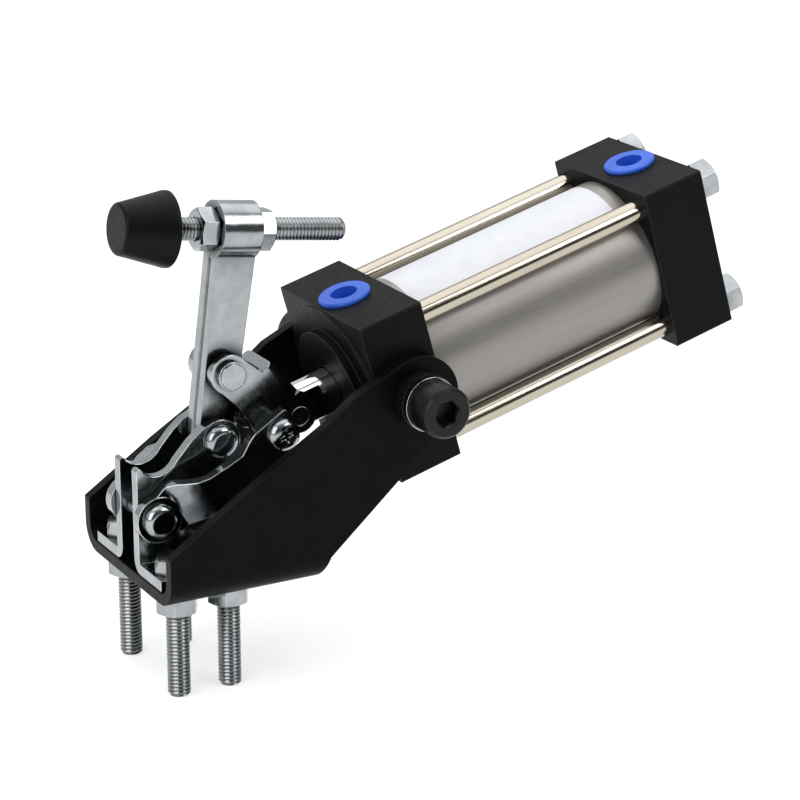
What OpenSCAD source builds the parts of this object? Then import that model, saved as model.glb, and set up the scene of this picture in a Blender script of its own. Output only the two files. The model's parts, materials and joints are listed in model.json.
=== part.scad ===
// Pneumatic power clamp: a toggle clamp whose handle is a short coupler, driven by a
// tie-rod cylinder that hangs on two trunnion screws in a folded bracket.
// X points rearward, Z up, and the near side is at negative Y. All sizes are in mm.
// The origin is the middle of the four mounting studs, in the plane of the nuts' lower faces.
// The rest pose is the open clamp: arm up, rod drawn in.

/* [Bracket] */
// Thickness of the bracket's sheet
bracket_t = 3; // [2:0.5:4]
// Gap between the cylinder's heads and each wall of the bracket
ear_gap = 1.8; // [1.5:0.1:2.4]
// Outside radius of the two long bends
bracket_bend_r = 7; // [6:0.5:8]
// Front edge of the web
bracket_front = -14; // [-20:1:-14]
// Rear edge of the web
web_rear = 28.3; // [24:0.1:32]
// Height of the walls at the front edge
wall_front_h = 13.8; // [8:0.1:18]
// Radius of the ears round the trunnion
ear_r = 11.2; // [10.5:0.1:14]

/* [Mounting bolts] */
// Thread size of the four mounting bolts
bolt_d = 6; // [5:0.5:7]
// Spacing of the bolts along X
bolt_dx = 14.4; // [13:0.1:16]
// Spacing of the bolts along Y
bolt_dy = 30.4; // [28:0.1:33]
// Length of the bolts under their heads
bolt_len = 33.9; // [25:0.1:45]
// Size over the flats of the small heads and nuts
hex_af = 10; // [9:0.5:11]
// Thickness of the bolt heads
bolt_head_h = 4; // [3:0.5:5]
// Thickness of the nuts
nut_h = 5; // [4:0.5:6]
// Clearance of a bolt in its holes, on the diameter
bolt_hole_play = 0.6; // [0.3:0.1:1]
// How much thinner a bolt is drawn where a nut grips its thread
grip_less = 0.65; // [0.5:0.05:0.8]

/* [Base plates] */
// Thickness of the folded base plates
base_t = 3; // [2.5:0.1:3.2]
// Free gap between the arm and each base plate
base_gap = 0.1; // [0.05:0.05:0.2]
// Gap between each foot and the bracket's bend
foot_gap = 0.1; // [0.05:0.05:0.5]
// Outside radius of the bend between foot and plate
base_bend_r = 4; // [3.5:0.5:5]
// Front edge of the base plates
base_front = -13.7; // [-14:0.1:-12.5]
// Rear edge of the base plates
base_rear = 21; // [18:0.5:24]
// Height of the front horn of the base plates
base_horn_z = 31.3; // [30.8:0.1:32]
// Radius of the dip behind the horn
dip_r = 6.1; // [5.8:0.1:6.3]
// Radius of the base plates' lobe round pivot A
lobe_a_r = 5.6; // [5.2:0.1:6]

/* [Pivots] */
// Arm pivot A, along X
pivot_a_x = 9.8; // [9.3:0.1:10.3]
// Arm pivot A, height
pivot_a_z = 35.3; // [34.8:0.1:35.8]
// Link pivot B, along X
pivot_b_x = -9; // [-9.3:0.1:-8.8]
// Link pivot B, height
pivot_b_z = 18.2; // [18:0.1:18.4]
// Coupler pivot C, along X
pivot_c_x = 12.9; // [12.6:0.1:13.2]
// Coupler pivot C, height
pivot_c_z = 52.5; // [52:0.1:53]
// Knee pivot D, along X
pivot_d_x = 23.2; // [23:0.1:23.4]
// Knee pivot D, height
pivot_d_z = 37.6; // [37.4:0.1:37.8]
// Diameter of the rivets at A, B and C
rivet_d = 6; // [5:0.5:6.5]
// Diameter of the domed rivet heads at A and B
dome_d = 9; // [8.4:0.1:9.4]
// Height of the domed rivet heads
dome_h = 2.4; // [2:0.1:2.6]
// Radius of the rivet heads' rounded edge
dome_edge = 2; // [1.4:0.1:2]
// Diameter of the flat rivet heads at C
disc_d = 7.7; // [7:0.1:8]
// Radial running clearance of every pin
run = 0.05; // [0.03:0.01:0.09]

/* [Arm] */
// Lean of the open arm towards the rear, in degrees
arm_lean = 7.3; // [5:0.1:9]
// Thickness of each of the arm's two layers
arm_t = 3.8; // [3.4:0.1:4]
// Width of the slit between the layers
arm_slit = 0.3; // [0.2:0.1:0.6]
// Distance from pivot A to the spindle
arm_len = 53.8; // [50:0.2:58]
// Front edge of the arm, ahead of pivot A
arm_front = 4.6; // [4.2:0.1:5]
// Rear edge of the arm at pivot C, behind pivot A
arm_rear = 5.1; // [4.8:0.1:5.4]
// Rear edge of the arm at the spindle, behind pivot A
arm_rear_top = 6.2; // [5.6:0.1:6.8]
// Outer diameter of the rolled eye round the spindle
eye_d = 14.8; // [14:0.1:15.5]
// Width of the groove where the arm's layers meet
arm_groove = 1.8; // [1:0.1:2.2]

/* [Spindle] */
// Thread size of the spindle
spindle_d = 6; // [5:0.5:6.5]
// Play of the spindle in the eye, on the diameter
spindle_play = 0.2; // [0.1:0.1:0.4]
// Reach of the rubber cap in front of pivot A
cap_front = 31; // [28:0.5:36]
// Length of the rubber cap
cap_len = 13.5; // [11:0.5:16]
// Diameter of the cap's clamping face
cap_face_d = 13.5; // [12:0.5:15]
// Diameter of the cap's wide end
cap_wide_d = 19.5; // [17:0.5:22]
// Rear end of the spindle behind pivot A
spindle_rear = 32.2; // [26:0.1:40]

/* [Coupler and links] */
// Thickness of the coupler's plates
coupler_t = 3; // [2.5:0.1:3.2]
// Gap between the arm's layers and each coupler plate
coupler_gap = 0.3; // [0.2:0.05:0.4]
// Radius of the coupler's lobe at C
lobe_c_r = 5.25; // [5:0.05:5.6]
// Radius of the coupler's lobe at D
lobe_d_r = 4.2; // [4:0.05:4.2]
// Radius of the coupler's lobe at the rod pin
lobe_e_r = 4.6; // [4.4:0.05:4.7]
// Direction in which the coupler's bridge faces, in degrees
bridge_turn = 42; // [41:0.5:43]
// Distance from the rod pin to the bridge's front edge
bridge_front = 17; // [16.5:0.1:17.1]
// Outside radius of the coupler's two bends
coupler_bend_r = 2; // [1.5:0.1:2.5]
// Thickness of the links
link_t = 3; // [2.5:0.1:3.3]
// Radius of the links round pivot B
link_b_r = 6.1; // [5.8:0.1:6.2]
// Height of the links' outward joggle
joggle = 5.7; // [5.3:0.1:6.3]
// Start of the joggle, measured from pivot B
joggle_start = 6.5; // [5:0.1:7]
// Length of the joggle along the link
joggle_len = 7; // [6:0.5:8]
// Diameter of the knee screws' pan heads
knee_head_d = 8.4; // [7.5:0.1:9]
// Height of the knee screws' pan heads
knee_head_h = 2.4; // [1.8:0.1:3]
// Thread size of the knee screws
knee_d = 5; // [4:0.5:5.5]
// Outer radius of the spacers behind the links
spacer_r = 4; // [3.6:0.1:4.2]

/* [Cylinder] */
// Trunnion axis, along X
trunnion_x = 56.8; // [56.3:0.1:57.3]
// Trunnion axis, height
trunnion_z = 45.1; // [44.7:0.1:45.5]
// Rise of the cylinder's axis towards the rear, in degrees
pitch = 15.85; // [14:0.05:17]
// Side of the square heads
head_w = 45; // [44:0.5:48]
// Length of each head along the axis
head_l = 18.2; // [16:0.1:20]
// Free length of the tube between the heads
tube_len = 70.4; // [68:0.1:90]
// Bore of the tube
bore_d = 38; // [36:0.5:38]
// Outer diameter of the tube
tube_d = 42; // [41:0.1:42.2]
// Diameter of the piston rod
rod_d = 12; // [10:0.5:13]
// Distance of the rod pin E in front of the trunnion
rod_reach = 25.2; // [25:0.1:25.6]
// Distance from the rod pin to the shoulder of the rod's tongue
tongue_l = 8.5; // [7.5:0.1:10]
// Thickness of the rod's flattened tongue
tongue_t = 8; // [6.5:0.1:8]
// Diameter of the rod pin
rod_pin_d = 5; // [4:0.5:5.5]
// Length of the piston
piston_l = 12; // [10:0.5:14]
// Gap between the piston and the rear head
piston_gap = 1; // [0.5:0.1:3]
// Spacing of the tie rods, centre to centre
tie_pitch = 34.4; // [34.2:0.1:35.2]
// Diameter of the tie rods
tie_d = 6; // [5:0.1:6]
// Size over the flats of the tie-rod nuts
tie_nut_af = 10; // [9:0.5:10]
// Thickness of the tie-rod nuts
tie_nut_h = 5.2; // [4:0.1:6]
// Offset of each port from the middle of its head
port_shift = 1.25; // [0:0.05:3]
// Diameter of the port plugs' flanges
plug_d = 14; // [12.5:0.5:16]
// Diameter of the hole in the port plugs
plug_hole_d = 7.2; // [6:0.1:8]
// Diameter of the ports
port_d = 9.6; // [9:0.1:10]
// Depth of the ports
port_depth = 9; // [7:0.5:9]
// Height of the plugs' flanges above the heads
plug_h = 1.1; // [0.8:0.1:1.6]

/* [Trunnion] */
// Diameter of the trunnion screws' heads
screw_head_d = 13.6; // [12.8:0.1:14]
// Height of the trunnion screws' heads
screw_head_h = 8.8; // [7:0.2:9.4]
// Size over the flats of the screws' sockets
socket_af = 6; // [5:0.5:6.5]
// Thread size of the trunnion screws
screw_d = 8; // [7:0.5:8.5]
// Outer diameter of the trunnion bushes in the ears
bush_d = 12; // [11:0.5:13]
// Length of the bushes outside the ears
bush_out = 3.7; // [3:0.1:4.5]
// Thickness of the spring washers
washer_t = 2; // [1.6:0.1:2.4]
// Outer diameter of the spring washers
washer_d = 14.5; // [13.5:0.5:16]

/* [Hidden] */
$fn = 96;
fine = 0.05;

A = [pivot_a_x, pivot_a_z];
B = [pivot_b_x, pivot_b_z];
C = [pivot_c_x, pivot_c_z];
D = [pivot_d_x, pivot_d_z];
T = [trunnion_x, trunnion_z];
E = T - rod_reach * [cos(pitch), sin(pitch)];

bracket_half_w = head_w / 2 + ear_gap + bracket_t;
wall_in = bracket_half_w - bracket_t;
base_half_w = wall_in - (bracket_bend_r - bracket_t) - foot_gap;
base_in = arm_t + base_gap;
base_out = base_in + base_t;
coupler_in = arm_t + coupler_gap;
coupler_out = coupler_in + coupler_t;
link_in = max(base_out, coupler_out) + 0.1;
link_far = link_in + joggle;
link_out = link_far + link_t;
foot_top = bracket_t + base_t;
link_len = norm(D - B);
link_dir = atan2(D[1] - B[1], D[0] - B[0]);
stud_end = foot_top - bolt_len;
grip_d = bolt_d - grip_less;
grip_end = -nut_h - 0.3;
head_half = head_w / 2;
rear_c = head_l + tube_len;
tube_x0 = head_l / 2;
tube_x1 = tube_x0 + tube_len;
tie_y = tie_pitch / 2;
nose_l = 3;
spigot = 3;
bush_in = wall_in - head_half - run;
bush_face = bracket_half_w + bush_out;
washer_face = bush_face + washer_t;
screw_end = head_half + run;
spindle_z = arm_len;
arm_c = [(C[0] - A[0]) * cos(arm_lean) - (C[1] - A[1]) * sin(arm_lean),
         (C[0] - A[0]) * sin(arm_lean) + (C[1] - A[1]) * cos(arm_lean)];

// Closed pose: B, C and D in one line, with D beyond C.
len_ab = norm(A - B);
len_ac = norm(C - A);
len_cd = norm(D - C);
len_bc = link_len - len_cd;
ang_ab = atan2(B[1] - A[1], B[0] - A[0]) + 360;
ang_ac = atan2(C[1] - A[1], C[0] - A[0]);
arm_turn = ang_ab - acos((len_ab * len_ab + len_ac * len_ac - len_bc * len_bc)
                         / (2 * len_ab * len_ac)) - ang_ac;
C1 = A + len_ac * [cos(ang_ac + arm_turn), sin(ang_ac + arm_turn)];
dead_line = atan2(C1[1] - B[1], C1[0] - B[0]);
link_turn = dead_line - link_dir;
coupler_turn = dead_line - atan2(D[1] - C[1], D[0] - C[0]);
E1 = C1 + rot2(E - C, coupler_turn);
rod_turn = atan2(T[1] - E1[1], T[0] - E1[0]) - pitch;
stroke = norm(T - E1) - rod_reach;

// In the closed pose the coupler's lobe at D reaches this far along the rod from pivot E.
fold = rod_turn - coupler_turn + pitch - atan2(D[1] - E[1], D[0] - E[0]);
relief_l = norm(D - E) * cos(fold) + lobe_d_r + 0.15;
echo(arm_turn = arm_turn, link_turn = link_turn, coupler_turn = coupler_turn);
echo(relief_l = relief_l, room = rod_reach - tube_x0 - nose_l);
echo(rod_turn = rod_turn, stroke = stroke, E = E, E1 = E1, C1 = C1);

// The coupler's bridge: its outer face touches the lobe at E, and its front edge stops just
// short of the arm's rear edge when the clamp is closed. Its rear edge clears the rod.
bridge_n = [cos(bridge_turn), sin(bridge_turn)];
bridge_s = [-sin(bridge_turn), cos(bridge_turn)];
lean_in = bridge_turn - pitch;
bridge_rear = (rod_d / 2 + 0.4 - sin(lean_in) * (lobe_e_r - coupler_t)) / cos(lean_in);

function rot2(p, a) = [p[0] * cos(a) - p[1] * sin(a), p[0] * sin(a) + p[1] * cos(a)];
function on(p, r, a) = p + r * [cos(a), sin(a)];

// All shapes below stand on the bracket's underside. The part's origin lies lower, in the
// plane of the mounting nuts' lower faces, in the middle of the four bolts.
module raised() {
    translate([0, 0, nut_h]) children();
}

// Two round lobes with straight flanks between them
module strap(p, r1, q, r2) {
    a = atan2(q[1] - p[1], q[0] - p[0]);
    b = acos((r1 - r2) / norm(q - p));
    translate(p) circle(r = r1);
    translate(q) circle(r = r2);
    polygon([on(p, r1, a + b), on(q, r2, a + b), on(q, r2, a - b), on(p, r1, a - b)]);
}

// A flat outline drawn in X and Z, given thickness from y0 to y1
module sheet(y0, y1) {
    translate([0, y1, 0]) rotate([90, 0, 0]) linear_extrude(y1 - y0) children();
}

// A round bar along Y through the point p of the X-Z plane
module bar_y(p, r, y0, y1) {
    translate([p[0], y0, p[1]]) rotate([-90, 0, 0]) cylinder(r = r, h = y1 - y0);
}

module both() {
    children();
    mirror([0, 1, 0]) children();
}

module at_bolts() {
    for (sx = [-1, 1]) for (sy = [-1, 1])
        translate([sx * bolt_dx / 2, sy * bolt_dy / 2, 0]) children();
}

// The arm's own frame: pivot A at the origin, the spindle straight above it
module arm_frame() {
    translate([A[0], 0, A[1]]) rotate([0, arm_lean, 0]) children();
}

// The cylinder's own frame: the trunnion at the origin, the axis along X
module cyl_frame() {
    translate([T[0], 0, T[1]]) rotate([0, -pitch, 0]) children();
}

module bar_x(r, x0, x1) {
    translate([x0, 0, 0]) rotate([0, 90, 0]) cylinder(r = r, h = x1 - x0);
}

module at_ties() {
    for (sy = [-1, 1]) for (sz = [-1, 1])
        translate([0, sy * tie_y, sz * tie_y]) children();
}

module hex_x(af, x0, x1, turn) {
    translate([x0, 0, 0]) rotate([0, 90, 0]) rotate([0, 0, turn])
        cylinder(d = af / cos(30), h = x1 - x0, $fn = 6);
}

// A rivet head with a rounded edge, standing on the plane z = 0
module dome(d, h, edge) {
    rotate_extrude() intersection() {
        square([d, h]);
        union() {
            square([d / 2 - edge, h]);
            square([d / 2, h - edge]);
            translate([d / 2 - edge, h - edge]) circle(r = edge);
        }
    }
}

// A hexagon body with its corners bevelled at the top, and at the bottom when both is 1
module hex_body(af, h, both_ends) {
    grow = 2 * h / tan(30);
    intersection() {
        cylinder(d = af / cos(30), h = h, $fn = 6);
        cylinder(d1 = af - 0.5 + grow, d2 = af - 0.5, h = h);
        if (both_ends == 1) cylinder(d1 = af - 0.5, d2 = af - 0.5 + grow, h = h);
        else cylinder(d = 2 * af, h = h);
    }
}

// Bracket: a folded channel whose walls rise to the two trunnion ears
module bracket_side() {
    polygon([[bracket_front, 0], [web_rear, 0], [web_rear + 2.6, 6.5], [50.1, 23.5],
             on(T, ear_r, -48), on(T, ear_r - 1, 60), on(T, ear_r - 0.1, 117), [38.3, 48.4],
             [31, 42.6], [5.3, 26.8], [bracket_front, wall_front_h]]);
    translate(T) circle(r = ear_r);
}

module round_square(w, r) {
    translate([-w, r]) square([2 * w, 90]);
    translate([-w + r, 0]) square([2 * (w - r), r + 1]);
    for (s = [-1, 1]) translate([s * (w - r), r]) circle(r = r);
}

module bracket() {
    color("#2b2c2e") raised() difference() {
        intersection() {
            translate([bracket_front - 1, 0, 0]) rotate([90, 0, 90])
                linear_extrude(trunnion_x + ear_r - bracket_front + 2) difference() {
                    round_square(bracket_half_w, bracket_bend_r);
                    translate([0, bracket_t])
                        round_square(wall_in, bracket_bend_r - bracket_t);
                }
            sheet(-bracket_half_w - 1, bracket_half_w + 1) bracket_side();
        }
        bar_y(T, bush_d / 2 + run, -bracket_half_w - 1, bracket_half_w + 1);
        at_bolts() translate([0, 0, -1]) cylinder(d = bolt_d + bolt_hole_play, h = bracket_t + 2);
    }
}

// Base plates: two folded angles that carry pivots A and B
module base_side() {
    horn = 0.85;
    difference() {
        polygon([[base_front, bracket_t], [base_rear, bracket_t], [base_rear, foot_top + 2],
                 on(A, lobe_a_r - 0.1, -12), on(A, lobe_a_r - 1, 45), on(A, lobe_a_r - 0.1, 104),
                 [4.4, 38.9], [1.3, 36.2], [-3.4, 31], [-4, base_horn_z - horn],
                 [base_front, base_horn_z - horn]]);
        translate([-7.9, 28.75 + dip_r]) circle(r = dip_r);
    }
    translate([base_front + horn, base_horn_z - horn]) circle(r = horn);
    translate(A) circle(r = lobe_a_r);
}

module base_section() {
    r = base_bend_r;
    difference() {
        union() {
            translate([base_in, bracket_t + r]) square([base_t, 60]);
            translate([base_in + r, bracket_t]) square([base_half_w - base_in - r, base_t]);
            translate([base_in + r, bracket_t + r]) circle(r = r);
        }
        translate([base_in + r, bracket_t + r]) circle(r = r - base_t);
        translate([base_out, foot_top]) square([60, 60]);
    }
}

module base_plate() {
    color("#b9bcbe") raised() difference() {
        intersection() {
            translate([base_front, 0, 0]) rotate([90, 0, 90])
                linear_extrude(base_rear - base_front) base_section();
            sheet(base_in - 1, base_half_w + 1) base_side();
        }
        bar_y(A, rivet_d / 2 + run, base_in - 1, base_out + 1);
        bar_y(B, rivet_d / 2 + run, base_in - 1, base_out + 1);
        at_bolts() translate([0, 0, bracket_t - 1])
            cylinder(d = bolt_d + bolt_hole_play, h = base_t + 2);
    }
}

module base_plate_near() { mirror([0, 1, 0]) base_plate(); }
module base_plate_far() { base_plate(); }

module mounting_bolts() {
    color("#c8cacc") raised() at_bolts() {
        translate([0, 0, stud_end]) cylinder(d1 = bolt_d - 1.2, d2 = bolt_d, h = 0.6);
        translate([0, 0, stud_end + 0.6]) cylinder(d = bolt_d, h = grip_end - stud_end - 0.6);
        translate([0, 0, grip_end - fine]) cylinder(d = grip_d, h = foot_top - grip_end + 2 * fine);
        translate([0, 0, foot_top]) hex_body(hex_af, bolt_head_h, 0);
    }
}

module mounting_nuts() {
    color("#c8cacc") raised() at_bolts() translate([0, 0, -nut_h]) difference() {
        hex_body(hex_af, nut_h, 1);
        translate([0, 0, -1]) cylinder(d = grip_d + 2 * run, h = nut_h + 2);
    }
}

// Arm: one strip folded in two round the spindle
module arm() {
    color("#b4b7ba") raised() arm_frame() difference() {
        intersection() {
            translate([-20, 0, 0]) rotate([90, 0, 90]) linear_extrude(40) {
                translate([-arm_t, -arm_front]) square([2 * arm_t, spindle_z + arm_front]);
                translate([0, spindle_z]) circle(d = eye_d);
            }
            sheet(-eye_d, eye_d) {
                circle(r = arm_front);
                polygon([[-arm_front, 0], [arm_front, 0], [arm_rear, arm_c[1]],
                         [arm_rear_top, spindle_z - eye_d / 2], [arm_rear_top, spindle_z + eye_d],
                         [-arm_front, spindle_z + eye_d]]);
            }
        }
        translate([-20, -arm_slit / 2, -arm_front - 1])
            cube([40, arm_slit, spindle_z + arm_front + 1]);
        translate([0, 0, spindle_z]) bar_x(spindle_d / 2 + spindle_play / 2, -20, 20);
        for (x = [-arm_front, arm_rear_top]) translate([x, 0, -2 * arm_front])
            rotate([0, 0, 45]) translate([-arm_groove / 2.83, -arm_groove / 2.83, 0])
                cube([arm_groove / 1.414, arm_groove / 1.414, spindle_z - eye_d / 2 + 2 * arm_front]);
        bar_y([0, 0], rivet_d / 2 + run, -eye_d, eye_d);
        bar_y(arm_c, rivet_d / 2 + run, -eye_d, eye_d);
    }
}

module rivet(p, y, d, h) {
    bar_y(p, rivet_d / 2, -y - fine, y + fine);
    both() translate([p[0], y, p[1]]) rotate([-90, 0, 0]) dome(d, h, dome_edge);
}

module arm_pivot_rivet() { color("#c2c4c6") raised() rivet(A, base_out, dome_d, dome_h); }

module link_pivot_rivet() {
    color("#c2c4c6") raised() {
        bar_y(B, rivet_d / 2, -link_in - link_t - fine, link_in + link_t + fine);
        both() translate([B[0], link_in + link_t, B[1]]) rotate([-90, 0, 0])
            dome(dome_d, dome_h, dome_edge);
    }
}

// Links: flat at B, joggled outward past the rivets, wide again at the knee
module link_side() {
    e = link_len;
    circle(r = link_b_r);
    polygon([[2, link_b_r - 0.6], [6, link_b_r + 0.5], [8.4, link_b_r + 0.1], [10.5, 5.3],
             [13.5, 4.3], [15.5, 3.5], [21, 2.8], [25.7, 2.5], [29.2, 4.4], [31.4, 5.2],
             [e + 3.6, 5.4], [e + 4.1, 4.9], [e + 4.3, 0.7], [e + 3.6, -3.3], [e + 2.5, -4.5],
             [34.2, -5.6], [28, -5.8], [13, -6.2], [3, -6.4], [2, 0.6 - link_b_r]]);
}

module link() {
    j0 = joggle_start;
    j1 = joggle_start + joggle_len;
    slope = joggle / joggle_len;
    k = link_t * (sqrt(1 + slope * slope) - 1) / slope;
    e = link_len + 8;
    color("#b9bcbe") raised() translate([B[0], 0, B[1]]) rotate([0, -link_dir, 0]) difference() {
        intersection() {
            sheet(link_in - 1, link_out + 1) link_side();
            translate([0, 0, -30]) linear_extrude(60)
                polygon([[-20, link_in], [j0, link_in], [j1, link_far], [e, link_far],
                         [e, link_out], [j1 - k, link_out], [j0 - k, link_in + link_t],
                         [-20, link_in + link_t]]);
        }
        bar_y([0, 0], rivet_d / 2 + run, link_in - 1, link_out + 1);
        bar_y([link_len, 0], knee_d / 2 + run, link_in - 1, link_out + 1);
    }
}

module link_near() { mirror([0, 1, 0]) link(); }
module link_far() { link(); }

// Coupler: one folded channel, two plates and a bridge along their upper rear edge
module coupler_side() {
    c_r = lobe_c_r - 0.1;
    front = bridge_front * bridge_s + E;
    translate(C) circle(r = lobe_c_r);
    translate(D) circle(r = lobe_d_r);
    translate(E) circle(r = lobe_e_r);
    polygon([on(C, c_r, 52), front + (lobe_e_r - coupler_t - 0.4) * bridge_n,
             front + lobe_e_r * bridge_n, E + lobe_e_r * bridge_n - 0.5 * bridge_s, E,
             on(E, lobe_e_r - 0.1, -70), on(E, 3.4, -112), on(D, lobe_d_r - 0.7, -50),
             on(D, lobe_d_r - 0.1, -100), D, on(D, lobe_d_r - 0.1, 190), [15.2, 43.3],
             on(C, c_r, -120)]);
}

module bridge_frame() {
    translate([E[0], 0, E[1]]) rotate([0, -bridge_turn, 0]) children();
}

module coupler() {
    long = bridge_front - bridge_rear;
    r = coupler_bend_r;
    color("#aeb2b5") raised() difference() {
        union() {
            both() sheet(coupler_in, coupler_out) coupler_side();
            bridge_frame() translate([lobe_e_r - coupler_t, -coupler_in - fine, bridge_rear])
                cube([coupler_t, 2 * (coupler_in + fine), long]);
        }
        both() bridge_frame() translate([lobe_e_r - r, coupler_out - r, bridge_rear - 1])
            difference() {
                cube([r + 1, r + 1, long + 2]);
                translate([0, 0, -1]) cylinder(r = r, h = long + 4);
            }
        bar_y(C, rivet_d / 2 + run, -coupler_out - 1, coupler_out + 1);
        bar_y(D, knee_d / 2 + run, -coupler_out - 1, coupler_out + 1);
        bar_y(E, rod_pin_d / 2 + run, -coupler_out - 1, coupler_out + 1);
    }
}

module coupler_rivet() {
    color("#c2c4c6") raised() {
        bar_y(C, rivet_d / 2, -coupler_out - fine, coupler_out + fine);
        both() {
            bar_y(C, disc_d / 2, coupler_out, coupler_out + 1.5);
            bar_y(C, disc_d / 2 - 0.5, coupler_out + 1.4, coupler_out + 2);
        }
    }
}

module knee_spacers() {
    color("#c2c4c6") raised() both() difference() {
        bar_y(D, spacer_r, link_in, link_far);
        bar_y(D, knee_d / 2 + run, link_in - 1, link_far + 1);
    }
}

module knee_screws() {
    color("#c8cacc") raised() both() {
        bar_y(D, knee_d / 2, link_in + fine, link_out + fine);
        translate([D[0], link_out, D[1]]) rotate([-90, 0, 0])
            dome(knee_head_d, knee_head_h, 1.9);
    }
}

module rod_pin() {
    color("#c2c4c6") raised() bar_y(E, rod_pin_d / 2, -coupler_out, coupler_out);
}

// Piston rod with its flattened, round-ended tongue. The flats run on below the axis, where
// the coupler's knee end lies against the rod in the closed clamp.
module piston_rod() {
    rear = tube_x1 - piston_gap - fine;
    flat_w = rod_d;
    color("#d8dadc") raised() cyl_frame() difference() {
        union() {
            bar_x(rod_d / 2, -rod_reach, rear - piston_l);
            bar_x(rod_d / 2 - 2, rear - piston_l - fine, rear);
            bar_y([-rod_reach, 0], rod_d / 2, -tongue_t / 2, tongue_t / 2);
        }
        both() translate([-rod_reach - rod_d, tongue_t / 2, -rod_d])
            cube([rod_d + tongue_l, flat_w, 2 * rod_d]);
        both() translate([-rod_reach - rod_d, tongue_t / 2, -rod_d])
            cube([rod_d + relief_l, flat_w, rod_d + 1.2]);
        bar_y([-rod_reach, 0], rod_pin_d / 2 + run, -rod_d, rod_d);
    }
}

module ring_x(r_out, r_in, x0, x1) {
    difference() {
        bar_x(r_out, x0, x1);
        bar_x(r_in, x0 - 1, x1 + 1);
    }
}

module piston() {
    x1 = tube_x1 - piston_gap;
    x0 = x1 - piston_l;
    color("#9a9da0") raised() cyl_frame() difference() {
        bar_x(bore_d / 2 - 0.3, x0, x1);
        bar_x(rod_d / 2 - 2 + run, x0 - 1, x1 + 1);
        ring_x(bore_d, bore_d / 2 - 3, x0 + 2, x0 + 4.5);
        ring_x(bore_d, bore_d / 2 - 2, x0 + 6.5, x0 + 9.5);
    }
}

module piston_seal() {
    x0 = tube_x1 - piston_gap - piston_l;
    color("#1d1d1f") raised() cyl_frame()
        ring_x(bore_d / 2 - run, bore_d / 2 - 3, x0 + 2 + fine, x0 + 4.5 - fine);
}

module wear_ring() {
    x0 = tube_x1 - piston_gap - piston_l;
    color("#e6e1d2") raised() cyl_frame()
        ring_x(bore_d / 2 - run, bore_d / 2 - 2, x0 + 6.5 + fine, x0 + 9.5 - fine);
}

module rod_bush() {
    color("#b08a4a") raised() cyl_frame()
        ring_x(rod_d / 2 + 2, rod_d / 2 + run, -tube_x0 + 2, tube_x0 - 1);
}

module rod_seal() {
    color("#1d1d1f") raised() cyl_frame()
        ring_x(rod_d / 2 + 3, rod_d / 2 + run, -tube_x0 - nose_l + 1.2, -tube_x0 + 2);
}

// One square head: chamfered block, bored for the tie rods and the port
module head_block(xc, port_x) {
    c = 0.35;
    difference() {
        translate([xc - head_l / 2, 0, 0]) rotate([90, 0, 90]) linear_extrude(head_l)
            polygon([[-head_half + c, -head_half], [head_half - c, -head_half],
                     [head_half, -head_half + c], [head_half, head_half - c],
                     [head_half - c, head_half], [-head_half + c, head_half],
                     [-head_half, head_half - c], [-head_half, -head_half + c]]);
        translate([port_x, 0, head_half - port_depth])
            cylinder(d = port_d, h = port_depth + 1);
    }
}

module front_head() {
    color("#c5c8ca") raised() cyl_frame() difference() {
        union() {
            head_block(0, -port_shift);
            bar_x(16, -tube_x0 - nose_l, -tube_x0 + 1);
            bar_x(17.5, -tube_x0 - nose_l + 2.4, -tube_x0 + 1);
            bar_x(head_half - 0.3, -tube_x0 - 0.6, -tube_x0 + 1);
            bar_x(bore_d / 2 - 0.1, tube_x0 - 1, tube_x0 + spigot);
        }
        bar_x(rod_d / 2 + 0.4, -tube_x0 - nose_l - 1, tube_x0 + spigot + 1);
        bar_x(rod_d / 2 + 2, -tube_x0 + 2, tube_x0 - 1);
        bar_x(rod_d / 2 + 3, -tube_x0 - nose_l + 1.2, -tube_x0 + 2);
        ring_x(bore_d, bore_d / 2 - 1.6, tube_x0 + 0.6, tube_x0 + 2.4);
        at_ties() bar_x(tie_d / 2 + run, -tube_x0 + 3, tube_x0 + 1);
        bar_y([0, 0], 3.4, -head_half - 1, -head_half + 8);
        bar_y([0, 0], 3.4, head_half - 8, head_half + 1);
    }
}

module rear_head() {
    color("#c5c8ca") raised() cyl_frame() difference() {
        union() {
            head_block(rear_c, rear_c + port_shift);
            bar_x(bore_d / 2 - 0.1, tube_x1 - piston_gap + 0.4, tube_x1 + 1);
        }
        at_ties() bar_x(tie_d / 2 + run, tube_x1 - 1, tube_x1 + head_l + 1);
    }
}

module tube() {
    color("#c9ccd0") raised() cyl_frame() ring_x(tube_d / 2, bore_d / 2, tube_x0, tube_x1);
}

module tube_seals() {
    color("#1d1d1f") raised() cyl_frame()
        ring_x(bore_d / 2 - run, bore_d / 2 - 1.6, tube_x0 + 0.6 + fine, tube_x0 + 2.4 - fine);
}

module tie_rods() {
    rear = tube_x1 + head_l + tie_nut_h + 0.8;
    color("#b8bbbf") raised() cyl_frame() at_ties() {
        bar_x(tie_d / 2, -tube_x0 + 3, rear - 0.6);
        translate([rear - 0.6, 0, 0]) rotate([0, 90, 0])
            cylinder(r1 = tie_d / 2, r2 = tie_d / 2 - 0.6, h = 0.6);
    }
}

module tie_rod_nuts() {
    x0 = tube_x1 + head_l;
    color("#c8cacc") raised() cyl_frame() at_ties() difference() {
        translate([x0, 0, 0]) rotate([0, 90, 0]) hex_body(tie_nut_af, tie_nut_h, 0);
        bar_x(tie_d / 2 + run, x0 - 1, x0 + tie_nut_h + 1);
    }
}

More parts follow.
